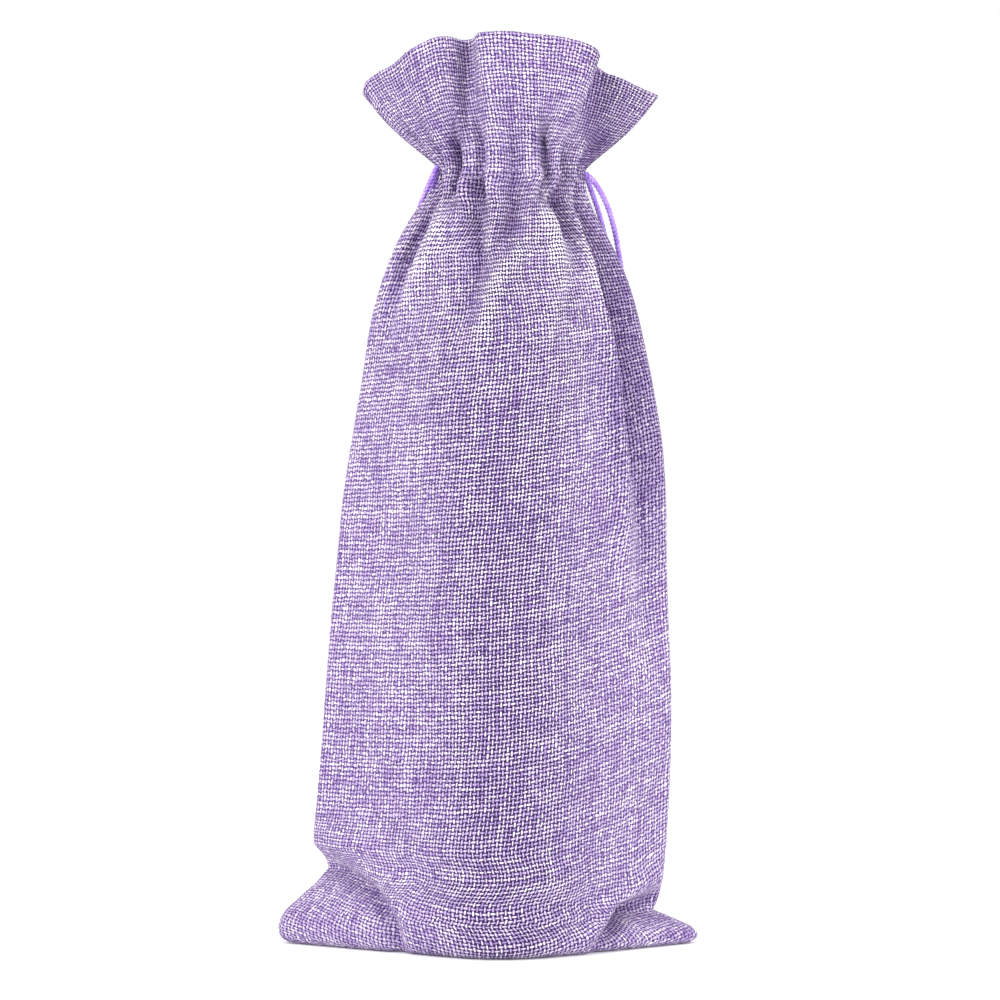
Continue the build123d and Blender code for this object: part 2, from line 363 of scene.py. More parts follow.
def tube(line, radius, sides=8, lobes=0, lobe_depth=0.0, lay=3.0, taper=0):
    """Points and faces of a tube along a line. With lobes it is a twisted cord of that many plies, and with
    taper its ends narrow over that many rings."""
    line = np.asarray(line, float)
    tangent = np.gradient(line, axis=0)
    tangent /= np.linalg.norm(tangent, axis=1)[:, None]
    normal = np.cross(tangent[0], SKEW)
    far = along(line)
    rings = []
    for k, (point, direction) in enumerate(zip(line, tangent)):
        normal = normal - direction * (normal @ direction)
        normal /= np.linalg.norm(normal)
        side = np.cross(direction, normal)
        angle = np.linspace(0, tau, sides, endpoint=False)
        twist = tau * far[k] / lay
        reach = radius * (1 + lobe_depth * np.cos(lobes * (angle - twist))) if lobes else radius
        if taper:
            reach = reach * min(1.0, (k + 0.3) / taper, (len(line) - k - 0.7) / taper)
        ring = point + np.outer(np.cos(angle) * reach, normal)
        rings.append(ring + np.outer(np.sin(angle) * reach, side))
    faces = grid_faces(len(line), sides, closed=True)
    faces.append(list(range(sides))[::-1])
    faces.append([(len(line) - 1) * sides + k for k in range(sides)])
    return np.vstack(rings), faces


def join(parts):
    """One list of points and one of faces from several."""
    points, faces, count = [], [], 0
    for more, more_faces in parts:
        points.append(more)
        faces += [[k + count for k in face] for face in more_faces]
        count += len(more)
    return np.vstack(points), faces


# ---------------------------------------------------------------- cords

# Routes in metres: exit, a little straight out, then down beside the neck and behind the bag
LEFT_FRONT_ROUTE = [
    (-0.014813, -0.0014, 0.2705), (-0.017013, -0.0014, 0.2705), (-0.0198, 0.0008, 0.265),
    (-0.0232, 0.0052, 0.258), (-0.0266, 0.0096, 0.2492), (-0.0302, 0.0124, 0.239),
    (-0.0334, 0.0136, 0.2278), (-0.0368, 0.0136, 0.2154), (-0.0374, 0.0154, 0.2024),
    (-0.0375, 0.0178, 0.1894), (-0.0371, 0.0202, 0.177), (-0.0371, 0.0202, 0.17),
]
LEFT_BACK_ROUTE = [
    (-0.014813, 0.0014, 0.2705), (-0.017013, 0.0014, 0.2705), (-0.0184, 0.0038, 0.2646),
    (-0.0216, 0.0092, 0.257), (-0.0256, 0.0134, 0.2478), (-0.029, 0.0156, 0.2372),
    (-0.0318, 0.0168, 0.2256), (-0.0336, 0.0178, 0.2132), (-0.0346, 0.0192, 0.2006),
    (-0.035, 0.021, 0.1884), (-0.0351, 0.0224, 0.177), (-0.0351, 0.0224, 0.17),
]
RIGHT_FRONT_ROUTE = [
    (0.031213, -0.0014, 0.2665), (0.033413, -0.0014, 0.2665), (0.0376, -0.0002, 0.262),
    (0.0412, 0.0024, 0.2554), (0.0438, 0.0056, 0.2472), (0.0456, 0.0082, 0.238), (0.047, 0.01, 0.2276),
    (0.0479, 0.0112, 0.2162), (0.0481, 0.013, 0.2036), (0.0477, 0.0158, 0.191), (0.0469, 0.0184, 0.179),
    (0.0459, 0.0202, 0.168), (0.0459, 0.0202, 0.161),
]
RIGHT_BACK_ROUTE = [
    (0.031213, 0.0014, 0.2665), (0.033413, 0.0014, 0.2665), (0.0352, 0.0034, 0.2614),
    (0.038, 0.0076, 0.2546), (0.0404, 0.011, 0.2464), (0.0422, 0.0136, 0.237), (0.0436, 0.0152, 0.2264),
    (0.0443, 0.0166, 0.2148), (0.0446, 0.018, 0.2026), (0.0446, 0.0198, 0.1904), (0.0443, 0.0215, 0.1786),
    (0.0439, 0.0225, 0.168), (0.0439, 0.0225, 0.161),
]
PLY_REACH = 0.94          # of the cord's radius, so that the plies' crowns stay near it
PLY_LAY = 4.4             # length of one turn of the plies
TWIST_STEP = 0.24         # between a cord's rings
FRAY_SEED = 7
FIBRES = 26
FIBRE_RADIUS = 0.11
END_BENDS = ((0, 0), (0.5, 3), (1.5, 6), (2, 8.5))     # sideways share and drop of a cut end


def route_points(route):
    """Points of the smooth line that a route's points control, in millimetres."""
    data = bpy.data.curves.new("route", "CURVE")
    data.dimensions = "3D"
    data.resolution_u = 24
    line = data.splines.new("NURBS")
    line.points.add(len(route) - 1)
    for point, place in zip(line.points, route):
        point.co = (*place, 1)
    line.order_u = 3
    line.use_endpoint_u = True
    holder = bpy.data.objects.new("route", data)
    mesh = bpy.data.meshes.new_from_object(holder)
    points = np.array([tuple(p.co) for p in mesh.vertices]) / MM
    bpy.data.objects.remove(holder)
    bpy.data.meshes.remove(mesh)
    bpy.data.curves.remove(data)
    return points


def twisted(line):
    """A three-ply twisted cord along a line."""
    far = along(line)
    fine = resample(line, far, np.linspace(0, far[-1], int(far[-1] / TWIST_STEP)))
    return tube(fine, CORD_DIAMETER / 2 * PLY_REACH, sides=18, lobes=3, lobe_depth=0.2, lay=PLY_LAY)


def knot_line(middle):
    """An overhand knot: the strands' turns round themselves, tucked in at both ends."""
    turns = np.linspace(0, 1, 90)
    angle = tau * 2.6 * turns + 0.6
    reach = 2.0 * np.sin(pi * np.clip(turns, 0.06, 0.94)) ** 0.25
    height = (0.5 - turns) * (KNOT_HEIGHT - CORD_DIAMETER) * 1.02
    wobble = 0.35 * np.sin(angle * 0.5)
    return np.stack([reach * np.cos(angle), reach * np.sin(angle), height + wobble], 1) + middle


def crossing_line(middle):
    """The strand that crosses the knot's turns on the outside."""
    turns = np.linspace(0, 1, 40)
    angle = -0.9 - 2.2 * turns
    height = (0.5 - turns) * (KNOT_HEIGHT - CORD_DIAMETER)
    reach = 2.05 + 0.1 * np.sin(pi * turns)
    return np.stack([reach * np.cos(angle), reach * np.sin(angle), height], 1) + middle


def frayed_parts(middle, seed):
    """Two cut ends below a knot: twisted cord that opens into loose fibres."""
    draw = np.random.default_rng(seed)
    parts = []
    for sign in (-1, 1):
        top = middle + np.array([0, 0.95 * sign, -2.3])
        bend = np.array([0.35 * sign, 0.15 * sign, 0])
        line = [top + bend * share + (0, 0, -drop) for share, drop in END_BENDS]
        parts.append(twisted(spline(line)))
        foot = line[-1]
        for _ in range(FIBRES):
            angle = draw.uniform(0, tau)
            out = np.array([cos(angle), sin(angle), 0])
            spread = draw.uniform(0.1, 1.0)
            length = draw.uniform(3.2, 4.4)
            curl = draw.normal(0, 0.25, 3)
            fibre = [
                foot + out * 0.55 * spread + (0, 0, 0.8),
                foot + out * (0.55 + 0.35 * spread) + curl * 0.3 - (0, 0, length * 0.4),
                foot + out * (0.5 + 0.9 * spread) + curl - (0, 0, length),
            ]
            parts.append(tube(spline(fibre, 5), FIBRE_RADIUS, sides=4))
    return parts


def add_drawstring(word, side_x, front_route, back_route, material):
    """One cord's free strands, its knot and its two frayed ends."""
    body = f"{word}_drawstring"
    lines = {"front": route_points(front_route), "back": route_points(back_route)}
    middle = (lines["front"][-1] + lines["back"][-1]) / 2
    turns = [twisted(knot_line(middle)), twisted(crossing_line(middle))]
    knot = make_mesh(f"{word}_cord_knot", *join(turns), material)
    ends = make_mesh(f"{word}_cord_ends", *join(frayed_parts(middle, FRAY_SEED + side_x)), material)
    for piece, node in ((knot, f"{word}_knot"), (ends, f"{body}_frayed_ends")):
        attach(piece, body)
        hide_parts(node)
    for place, route in (("front", front_route), ("back", back_route)):
        name = f"{word}_cord_{place}"
        strand = make_mesh(name, *twisted(lines[place]), material)
        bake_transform(strand)
        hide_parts(f"{body}_{place}_strand")


# ---------------------------------------------------------------- the bag's sections

# Height, left and right side, bottle's middle, half depth, radius of the side folds
SECTIONS = np.array([
    (0.4, -69, 69.5, 4, 33.5, 2.2),
    (1.6, -71.5, 71.6, 4, 35.6, 2.8),
    (3.5, -72.6, 72.3, 4, 36.9, 3.2),
    (6, -72.8, 69.6, 4, 37.5, 3.6),
    (8.5, -72.2, 64, 4, 37.8, 3.8),
    (11.5, -70.4, 56.8, 4, 38, 3.6),
    (16, -65.4, 58.6, 4, 38, 3.4),
    (20.5, -60.3, 59.8, 4, 38, 3.2),
    (26, -55.4, 60.5, 4, 38, 3.2),
    (29.5, -56.4, 60.9, 4, 38, 3.2),
    (34.5, -60.6, 61.4, 4, 38, 3.2),
    (40, -60.6, 61.7, 4, 38, 3.2),
    (50, -59.5, 62.3, 4, 38, 3.2),
    (70, -57.8, 63.1, 4, 38, 3.2),
    (91, -56.3, 63.1, 4, 38, 3.2),
    (112, -54.7, 62, 4, 38, 3.2),
    (133, -52.5, 61.4, 4, 38, 3.2),
    (153, -50.8, 61.4, 4, 38, 3.2),
    (174, -47.5, 60, 4, 37.8, 3.3),
    (195, -43.8, 56.4, 4.2, 35.8, 4),
    (216, -41, 52, 5.2, 31, 5.2),
    (226, -38, 49.3, 5.8, 28.2, 5.8),
    (236, -34.9, 45.5, 6.3, 25.6, 6.5),
    (250, -28.2, 37.6, 7.3, 22.4, 8.6),
    (259, -20.8, 33.9, 8, 21.6, 11.5),
    (263.5, -17.6, 33.2, 8.2, 21.2, 13),
])
THROAT = (-15.8, 32.2, 8.2, 20.5, 13.0)     # the narrowest section, where the cords run
LEVELS = np.concatenate([
    np.arange(0.4, 12, 0.7), np.arange(12, 48, 0.9), np.arange(48, 236, 1.5),
    np.arange(236, 263, 0.75), [CASING_BASE],
])
RING_SAMPLES = 620
ARC_STEPS = (30, 160, 30)  # points on the left side fold, round the bottle and on the right side fold
VALLEY_ROUND = 1.35        # how round the ridges beside a valley are
COLUMNS = int(round(CLOTH_WIDTH / WARP_PITCH)) * 2 + 1
CLOTH_C = np.linspace(0, CLOTH_WIDTH, COLUMNS)


def section_at(z):
    """The section at a height, averaged over a short reach so that the sides curve smoothly."""
    reach = min(max(z - 45, 0) * 0.3, 8.0, (CASING_BASE - z) * 0.5)
    heights = z + reach * np.linspace(-1, 1, 7)
    return [float(np.mean(np.interp(heights, SECTIONS[:, 0], SECTIONS[:, k]))) for k in range(1, 6)]


def half_ring(section):
    """Half of the line round a section's three circles: points and outward directions, left to right,
    evenly spaced, with y positive."""
    left, right, middle, half_depth, side_radius = section
    left_x = left + side_radius
    right_x = right - side_radius
    left_turn = pi - acos((half_depth - side_radius) / (middle - left_x))
    right_turn = acos((half_depth - side_radius) / (right_x - middle))
    turns = (pi, left_turn, right_turn, 0)
    angles = np.concatenate([np.linspace(*arc) for arc in zip(turns, turns[1:], ARC_STEPS)])
    centre_x = np.repeat([left_x, middle, right_x], ARC_STEPS)
    radius = np.repeat([side_radius, half_depth, side_radius], ARC_STEPS)
    outward = np.stack([np.cos(angles), np.sin(angles)], 1)
    points = np.stack([centre_x, 0 * centre_x], 1) + outward * radius[:, None]
    far = along(points)
    even = np.linspace(0, far[-1], RING_SAMPLES)
    outward = resample(outward, far, even)
    return resample(points, far, even), outward / np.linalg.norm(outward, axis=1)[:, None]


# Valleys between two ridges that run down the cloth: rows of height, left ridge, right ridge, depth and
# the crease's share of the way across.
FRONT_VALLEYS = [
    [(264, -9, 1.5, 2.6, 0.3), (258, -9.8, 2, 5.4, 0.36), (250, -10.8, 2.2, 6.8, 0.4),
     (244, -11.6, 2, 5.8, 0.46), (239.6, -12.8, 1.8, 5, 0.56), (234.6, -15.5, 6, 4.6, 0.58),
     (229.6, -17.5, 4.4, 4.2, 0.6), (224.6, -20, 2.4, 3.6, 0.64), (219.7, -22.5, 0.6, 2.8, 0.7),
     (214.7, -25, -2, 1.9, 0.72), (207, -28, -5, 0, 0.72)],
    [(264, 1.5, 18.9, 2, 0.62), (259.5, 2, 18.6, 4.6, 0.55), (254.5, 2.2, 18.6, 6.4, 0.48),
     (249.5, 2.2, 19, 6.4, 0.38), (244.5, 2, 20, 5.2, 0.3), (239.6, 1.8, 20.5, 3.8, 0.24),
     (236, 0.6, 18, 1.6, 0.26), (233.5, 0, 14, 0, 0.3)],
    [(264, 18.9, 26, 2.8, 0.42), (259, 18.8, 28.6, 5.8, 0.4), (254, 19, 30, 7.4, 0.44),
     (249.5, 19.8, 30.8, 6.6, 0.5), (244.5, 21.5, 32, 4.4, 0.54), (240, 23, 33.5, 2.2, 0.5),
     (232, 24, 35, 0, 0.5)],
    [(264, 25.3, 32.6, 2.6, 0.4), (254, 28.4, 36.8, 6.2, 0.36), (242, 31.6, 43.4, 9.4, 0.3),
     (232, 34.5, 47.4, 10.6, 0.24), (220, 37.2, 50.9, 11, 0.24), (207, 41, 54.2, 9.8, 0.22),
     (195, 43.4, 56.2, 8.2, 0.24), (178, 44.8, 59, 6.6, 0.34), (155, 46, 61, 4.8, 0.42),
     (133, 47, 61.2, 3, 0.5), (112, 48, 62, 1.2, 0.5), (96, 48.6, 62.4, 0, 0.5)],
]
BACK_VALLEYS = [
    [(264, -14.8, -7.5, 3, 0.5), (252, -24, -9.5, 4.8, 0.5), (238, -31.5, -13.5, 5.2, 0.48),
     (222, -37, -20, 4.4, 0.45), (204, -41, -27, 2.2, 0.4), (180, -44, -30, 0, 0.4)],
    [(264, -1.5, 8, 4.5, 0.55), (254, -3, 8.8, 5.2, 0.55), (242, -6, 10, 4, 0.52), (228, -9, 12, 2, 0.5),
     (212, -12, 14, 0, 0.5)],
    [(264, 11, 20.5, 4.2, 0.45), (252, 12, 24.5, 5.4, 0.42), (238, 13, 30, 4.6, 0.4),
     (220, 14.5, 36, 2.6, 0.38), (198, 16, 40, 0, 0.36)],
    [(264, 23.5, 31.4, 3, 0.5), (252, 28, 37, 4.6, 0.5), (238, 33.5, 45, 5.6, 0.45),
     (222, 38.5, 50.4, 5.4, 0.4), (200, 42.5, 55, 3.6, 0.36), (170, 45, 59, 1.6, 0.34),
     (140, 46, 61, 0, 0.34)],
]

# Free creases and ridges as lines of (x, z, height of the ridge), with their widths on the two sides
FRONT_CREASES = [
    ([(-18, 266, -1.4), (-20, 256.4, -4.4), (-22.2, 251.3, -5), (-24.4, 246.3, -5.2),
      (-27.3, 241.2, -5.2), (-29, 236, -4.8), (-31, 231, -4.2), (-32, 226, -3.4), (-33.4, 217, -1.8),
      (-35.5, 206, 0)], 2.3, 2.3),
    ([(-12.8, 262, 0.6), (-14.8, 252, 2.4), (-19.2, 241, 2.8), (-24.4, 230, 2.4), (-29, 220, 1.4),
      (-34, 208, 0)], 3.4, 3.4),
    ([(18.2, 264, 2), (18.6, 254, 3.8), (20.8, 246, 4), (22.8, 238, 3.2), (22.8, 228, 2.2),
      (21, 214, 1.2), (19, 200, 0)], 2.8, 2.8),
    ([(15.8, 252, 0.4), (13.6, 244, 2), (8.6, 236, 3), (3.6, 228, 3.2), (1.4, 219, 2.9), (-1.8, 210, 1.9),
      (-6, 204, 0.9), (-10, 196, 0)], 3.6, 3.6),
    ([(26.4, 268, 1), (30.4, 250, 2.2), (35.8, 228, 3), (40.6, 206, 3.2), (43.8, 176, 3), (45.6, 134, 2),
      (47, 100, 0)], 6, 2.4),
    ([(-57.5, 29, -1.4), (-48, 25, -3.2), (-39, 19.6, -4.4), (-33.5, 11, -4.2), (-30, 2, -2.4)],
      2.4, 3.6),
    ([(-60, 38, 1), (-48, 34, 2.2), (-36, 28, 2.2), (-28, 19, 1.6), (-24.5, 8, 0.6)], 5, 4.4),
    ([(62, 17.5, -1.4), (54, 15.6, -4.2), (46, 13.2, -7.6), (42.6, 7.6, -5.6), (37, 3, -2.6), (33, 0, 0)],
      2.2, 2.5),
    ([(60, 25, 1.6), (50, 21, 3), (41, 17, 2.8), (36, 9.5, 2.4), (31, 2, 1)], 3.4, 3),
    ([(-46, 150, 0), (-40, 120, 0.9), (-36, 90, 1), (-30, 55, 0.6), (-26, 40, 0)], 6, 7),
]
BACK_CREASES = [
    ([(-56, 26.5, -2.4), (-46, 22, -3.2), (-38, 17, -3.2), (-33, 8, -1.8)], 2.4, 3.4),
    ([(-58, 34, 1.4), (-46, 30, 2), (-35, 25, 1.6), (-28, 15, 0.6)], 4.5, 4.5),
    ([(57, 15, -2), (49, 13, -3.2), (42, 10, -3), (35, 5, -1.2)], 2.8, 2.8),
    ([(59, 22, 1.2), (49, 20, 2), (39, 16, 1.4)], 3.6, 3.6),
    ([(-30, 170, 0), (-24, 150, 0.9), (-20, 122, 0.7), (-18, 96, 0)], 5, 6),
    ([(22, 118, 0), (30, 96, 0.9), (36, 70, 0.7), (40, 50, 0)], 5, 6),
]


def valleys_offset(z, ring_x, far, valleys):
    """How far the valleys at one height draw the cloth in, at each point of a ring."""
    offset = np.zeros(len(far))
    for rows in valleys:
        rows = np.array(rows, float)[::-1]
        if z < rows[0, 0]:
            continue
        left, right, depth, share = [np.interp(z, rows[:, 0], rows[:, k]) for k in range(1, 5)]
        start = np.interp(max(left, ring_x[0] + 0.02), ring_x, far)
        end = np.interp(min(right, ring_x[-1] - 0.02), ring_x, far)
        t = np.clip((far - start) / (end - start), 0, 1) ** (log(0.5) / log(share))
        offset -= depth * (1 - np.abs(np.cos(pi * t)) ** VALLEY_ROUND)
    return offset


def crease_height(x, z, creases):
    """Height of the free creases and ridges at points of the front view."""
    total = np.zeros(np.shape(x))
    for line, above, below in creases:
        nearest = np.full(np.shape(x), 1e9)
        height = np.zeros(np.shape(x))
        line = np.array(line, float)
        for start, end in zip(line, line[1:]):
            step = end[:2] - start[:2]
            share = np.clip(((x - start[0]) * step[0] + (z - start[1]) * step[1]) / (step @ step), 0, 1)
            off_x = x - start[0] - share * step[0]
            off_z = z - start[1] - share * step[1]
            side = step[0] * off_z - step[1] * off_x
            distance = np.hypot(off_x, off_z) / np.where(side > 0, above, below)
            closer = distance < nearest
            nearest = np.where(closer, distance, nearest)
            height = np.where(closer, start[2] + share * (end[2] - start[2]), height)
        total += height * np.exp(-nearest * nearest)
    return total


# Size, turn per millimetre across and up, and phase of each wave in loose cloth
SLACK_WAVES = (
    (0.5, 0.071, 0.033, 0.4), (0.4, -0.052, 0.081, 2.1), (0.28, 0.143, -0.061, 4.4),
    (0.2, 0.19, 0.12, 1.3), (0.16, -0.23, 0.19, 5.2),
)


def slack(x, z):
    """Broad shallow unevenness of loose cloth."""
    return sum(size * np.sin(a * x + b * z + phase) for size, a, b, phase in SLACK_WAVES)


# Ridges of the neck's pleats: share of the way round, cloth used so far, share at the shoulder's foot
FRONT_PLEATS = [
    (0, 0, 0), (0.04, 11, 0.07), (0.085, 22, 0.14), (0.225, 42, 0.26), (0.385, 60, 0.39),
    (0.625, 81, 0.54), (0.755, 106, 0.7), (0.88, 131, 0.88), (1, 150, 1),
]
BACK_PLEATS = [
    (0, 0, 0), (0.09, 15, 0.09), (0.19, 32, 0.2), (0.31, 50, 0.32), (0.43, 66, 0.44), (0.56, 85, 0.55),
    (0.67, 101, 0.67), (0.78, 117, 0.78), (0.89, 134, 0.89), (1, 150, 1),
]
SHOULDER_REACH = 30.0      # below the casing the pleats spread out over this height
NECK_PLEAT = 5.6           # deepest pleat where the cords run, so that it clears them
PLEAT_GROWTH = 0.6         # how much deeper a pleat may be for each millimetre below the casing
PLEAT_FILL = 0.46          # depth of a pleat that takes up a given length of cloth
PLEAT_ROUND = 1.4


def pleated(z, section, pleats, offset):
    """The gathered ring at a height, at every column of the cloth, and the same ring without its pleats."""
    points, outward = half_ring(section)
    far = along(points)
    total = far[-1]
    points = points + outward * np.asarray(offset)[..., None]
    placed = []
    low = float(np.clip((CASING_BASE - z) / SHOULDER_REACH, 0, 1))
    deepest = NECK_PLEAT + max(CASING_BASE - z, 0) * PLEAT_GROWTH
    ridges = [(share + (share_low - share) * low, used) for share, used, share_low in pleats]
    for (start, used), (end, used_end) in zip(ridges, ridges[1:]):
        width = (end - start) * total
        cloth = used_end - used
        depth = min(PLEAT_FILL * max(cloth**2 - width**2, 0) ** 0.5, deepest)
        inside = (far >= start * total - 1e-9) & (far <= end * total + 1e-9)
        t = (far[inside] - start * total) / width
        sunk = depth * (1 - np.abs(np.cos(pi * t)) ** PLEAT_ROUND)
        line = points[inside] - outward[inside] * sunk[:, None]
        places = along(line)
        chosen = (CLOTH_C >= used - 1e-9) & (CLOTH_C < used_end - 1e-9)
        if used_end >= CLOTH_WIDTH:
            chosen = CLOTH_C >= used - 1e-9
        at = (CLOTH_C[chosen] - used) / cloth * places[-1]
        placed.append(resample(line, places, at))
    shares, useds = np.array(ridges).T
    smooth = resample(points, far, np.interp(CLOTH_C, useds, shares) * total)
    return np.vstack(placed), smooth


def fold_offset(z, points, far, sign, valleys, creases):
    """How far the cloth rises at a ring's points, the folds' part of that and the distance to a side."""
    offset = valleys_offset(z, points[:, 0], far, valleys)
    offset += crease_height(points[:, 0], z, creases)
    folds = offset.copy()
    offset += slack(points[:, 0] + 40 * sign, z) * float(smooth_step(z, 6, 30))
    from_edge = np.minimum(far, far[-1] - far)
    return offset * smooth_step(from_edge, 0.0, 4.5), folds, from_edge


CONTACT_X = 5.5            # the weave lies most open over the bottle about this line, and its gaps are painted dark there: the dark bottle and painted shade inside the bag
CONTACT_REACH = 22.0
GATHER = (247, 263)        # the pleats of the neck come in over these heights


def panel_rings(sign, valleys, creases, pleats):
    """x and y of the cloth's columns at each level, how tightly it lies over the bottle, and its folds."""
    rings, taut, deep = [], [], []
    for z in LEVELS:
        points, outward = half_ring(section_at(z))
        far = along(points)
        offset, folds, from_edge = fold_offset(z, points, far, sign, valleys, creases)
        line = points + outward * offset[:, None]
        line[:, 1] = np.maximum(line[:, 1], 1.0 * smooth_step(from_edge, 0.0, 2.0))
        places = along(line)
        at = CLOTH_C / CLOTH_WIDTH * places[-1]
        ring = resample(line, places, at)
        close = np.exp(-(((ring[:, 0] - CONTACT_X) / CONTACT_REACH) ** 2))
        fold = np.interp(at, places, -folds)
        gathered = float(smooth_step(z, *GATHER))
        if gathered > 0:
            pleats_here, smooth = pleated(z, section_at(z), pleats, offset)
            ring = ring * (1 - gathered) + pleats_here * gathered
            pleat_depth = np.linalg.norm(pleats_here - smooth, axis=1)
            deeper = pleat_depth + np.interp(smooth[:, 0], points[:, 0], -folds)
            fold = fold * (1 - gathered) + deeper * gathered
        rings.append(ring)
        taut.append(close)
        deep.append(fold)
    return np.array(rings), np.array(taut), np.array(deep)


def row_rise(x):
    """How far the rows of the weave climb towards the right."""
    return 0.096 * x + 0.0025 * np.maximum(x, 0) ** 2 + 0.00075 * np.minimum(x, 0) ** 2


FLOOR_STEPS = 16           # rows of points under the base
SEAM_LEFT, SEAM_SPAN = -69.0, 138.5
EAR_TOP = 45.0             # the bottom corners' cloth ends at this height


def panel_grid(rings, maps, sign):
    """Points of one panel on an even grid of cloth, from the bottom seam to the casing, and maps of it."""
    rows = int(round(PANEL_LENGTH / WEFT_PITCH)) * 2 + 1
    cloth_v = np.linspace(0, PANEL_LENGTH, rows)
    floor_steps = np.linspace(0, 1, FLOOR_STEPS, endpoint=False)[:, None]
    grid = np.zeros((rows, COLUMNS, 3))
    spread = [np.zeros((rows, COLUMNS)) for _ in maps]
    level_fade = 1 - smooth_step(LEVELS, 195, CASING_BASE)
    ear_top = np.searchsorted(LEVELS, EAR_TOP)
    for k, c in enumerate(CLOTH_C):
        wall = np.column_stack([rings[:, k], LEVELS])
        seam = np.array([SEAM_LEFT + SEAM_SPAN * c / CLOTH_WIDTH, 0.0, wall[0, 2]])
        line = np.vstack([seam + (wall[0] - seam) * floor_steps, wall])
        places = along(line)
        level_v = LEVELS + BOTTOM_FLAP - row_rise(wall[:, 0]) * level_fade
        lower = places[: FLOOR_STEPS + ear_top] * level_v[ear_top] / places[FLOOR_STEPS + ear_top]
        v = np.concatenate([lower, level_v[ear_top:]])
        grid[:, k] = resample(line, v, cloth_v * v[-1] / PANEL_LENGTH)
        for target, values in zip(spread, maps):
            target[:, k] = np.interp(cloth_v, v, np.concatenate([np.zeros(FLOOR_STEPS), values[:, k]]))
    grid[:, :, 1] *= sign
    return grid, spread, cloth_v


def grid_normals(grid, sign):
    """Outward directions at the points of a grid of cloth."""
    normal = np.cross(np.gradient(grid, axis=1), np.gradient(grid, axis=0)) * -sign
    return normal / np.maximum(np.linalg.norm(normal, axis=2), 1e-9)[:, :, None]


def roughen(grid, cloth_v, sign):
    """Raises the cloth a little where two yarns cross."""
    normal = grid_normals(grid, sign)
    crossing = np.outer(np.cos(pi * cloth_v / WEFT_PITCH) ** 2, np.cos(pi * CLOTH_C / WARP_PITCH) ** 2)
    jitter = 0.75 + 0.25 * np.sin(CLOTH_C[None, :] * 3.7 + 1.3 * cloth_v[:, None])
    return grid + normal * (YARN_RELIEF * crossing * jitter)[:, :, None]


def count_yarns(data, columns, yarns_per_column, cloth_v):
    """A UV map that counts the yarns across and up a grid of cloth."""
    layer = data.uv_layers.new(name="weave")
    corner = np.zeros(len(data.loops), np.int32)
    data.loops.foreach_get("vertex_index", corner)
    uv = np.stack([corner % columns * yarns_per_column, cloth_v[corner // columns] / WEFT_PITCH], 1)
    layer.data.foreach_set("uv", uv.astype(np.float32).ravel())


def cloth_piece(name, grid, cloth_v, material, maps, sign):
    """A mesh of cloth with its yarn count as UV map, and three maps that the weave material reads: how
    open the weave is, how pale its painted gaps are, and how deep in a fold (above 0, painted shade) or
    high on a ridge (below 0, painted highlight) it lies."""
    points = roughen(grid, cloth_v, sign)
    faces = grid_faces(len(cloth_v), COLUMNS)
    if sign == BACK:
        faces = [face[::-1] for face in faces]
    piece = make_mesh(name, points, faces, material)
    data = piece.data
    count_yarns(data, COLUMNS, 0.5, cloth_v)
    for key, values in zip(("open", "gap", "fold"), maps):
        attribute = data.attributes.new(key, "FLOAT", "POINT")
        attribute.data.foreach_set("value", np.asarray(values, np.float32).ravel())
    return piece


def add_panel(word, sign, valleys, creases, pleats, material):
    """One side of the bag's body, from the bottom seam to the casing."""
    rings, taut, deep = panel_rings(sign, valleys, creases, pleats)
    grid, (tight, fold), cloth_v = panel_grid(rings, (taut, deep), sign)
    x, z = grid[:, :, 0], grid[:, :, 2]
    shoulder = smooth_step(z, 160, 205)
    # Painted shade: a strip down the right side, behind the ridge there, is drawn darker and with darker
    # gaps
    shaded = smooth_step(x, 36, 44) * smooth_step(z, 110, 190) * (1 - smooth_step(z, 240, 256))
    sewn = smooth_step(z, 252, 263)
    open_map = np.clip(tight * (1 - 0.35 * shoulder) + 0.1 * shoulder - 0.6 * sewn, 0.25 * sewn, 1)
    # Gaps are painted darker over the bottle, on the shoulder and in the shaded strip: the dark bottle and
    # painted shade inside the bag
    gap_map = np.clip(0.20 - 0.3 * tight - 0.08 * shoulder - 0.2 * shaded, 0.10 * sewn, 1)
    # Fold map: painted shade that grows with a fold's depth and covers the shaded strip, weaker near the
    # neck, and a painted highlight (below 0) on ridges
    neck_share = 0.4 * smooth_step(z, 238, 256)
    ridge = np.clip(-fold / 3.2, 0, 1) * smooth_step(z, 90, 190)
    fold_shade = np.maximum(fold / 8.5 - 0.06, 0.6 * shaded) * (1 - neck_share)
    maps = (open_map, gap_map, np.clip(fold_shade, 0, 1) - ridge * (1 - shaded))
    panel = cloth_piece(f"{word}_body_cloth", grid, cloth_v, material, maps, sign)
    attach(panel, "bag")
    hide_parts(f"{word}_panel")
    return grid


# ---------------------------------------------------------------- heading

